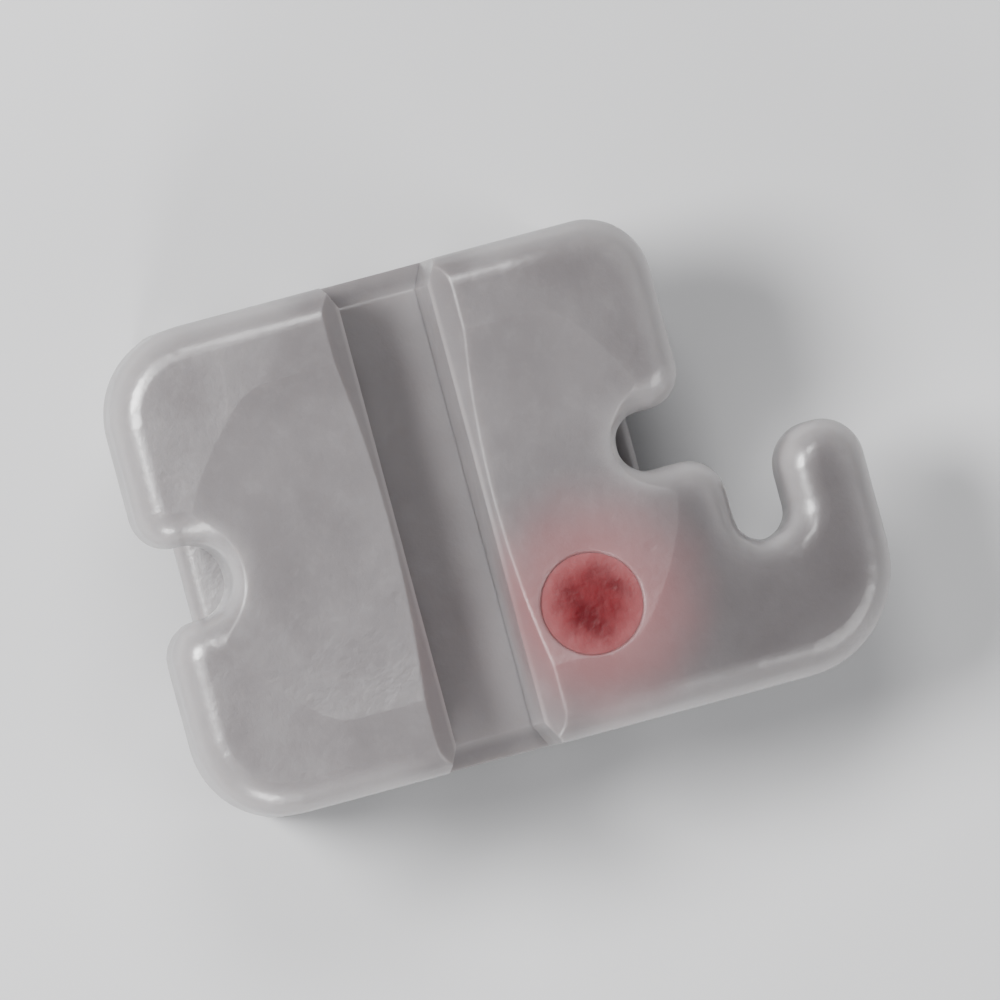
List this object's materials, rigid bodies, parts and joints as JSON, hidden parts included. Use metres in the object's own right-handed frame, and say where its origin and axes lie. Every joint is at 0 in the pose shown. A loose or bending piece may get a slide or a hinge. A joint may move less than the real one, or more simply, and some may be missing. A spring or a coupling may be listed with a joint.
{
  "type": "orthodontic bracket",
  "caption": "Ceramic twin orthodontic bracket with four tie wings, an edgewise archwire slot, an integral hook and a ribbed dovetail base shaped to an upper premolar.",
  "frame": {"origin": "the base point, the middle of the concave bonding surface", "axes": "+X distal, along the archwire slot; +Y gingival, towards the hook; +Z facial, away from the tooth"},
  "size_m": [0.003, 0.0044, 0.0022],
  "materials": {
    "ceramic": "satin",
    "dye": "satin"
  },
  "bodies": {
    "root": {"bracket_body": "ceramic", "id_mark": "dye"}
  },
  "joints": []
}
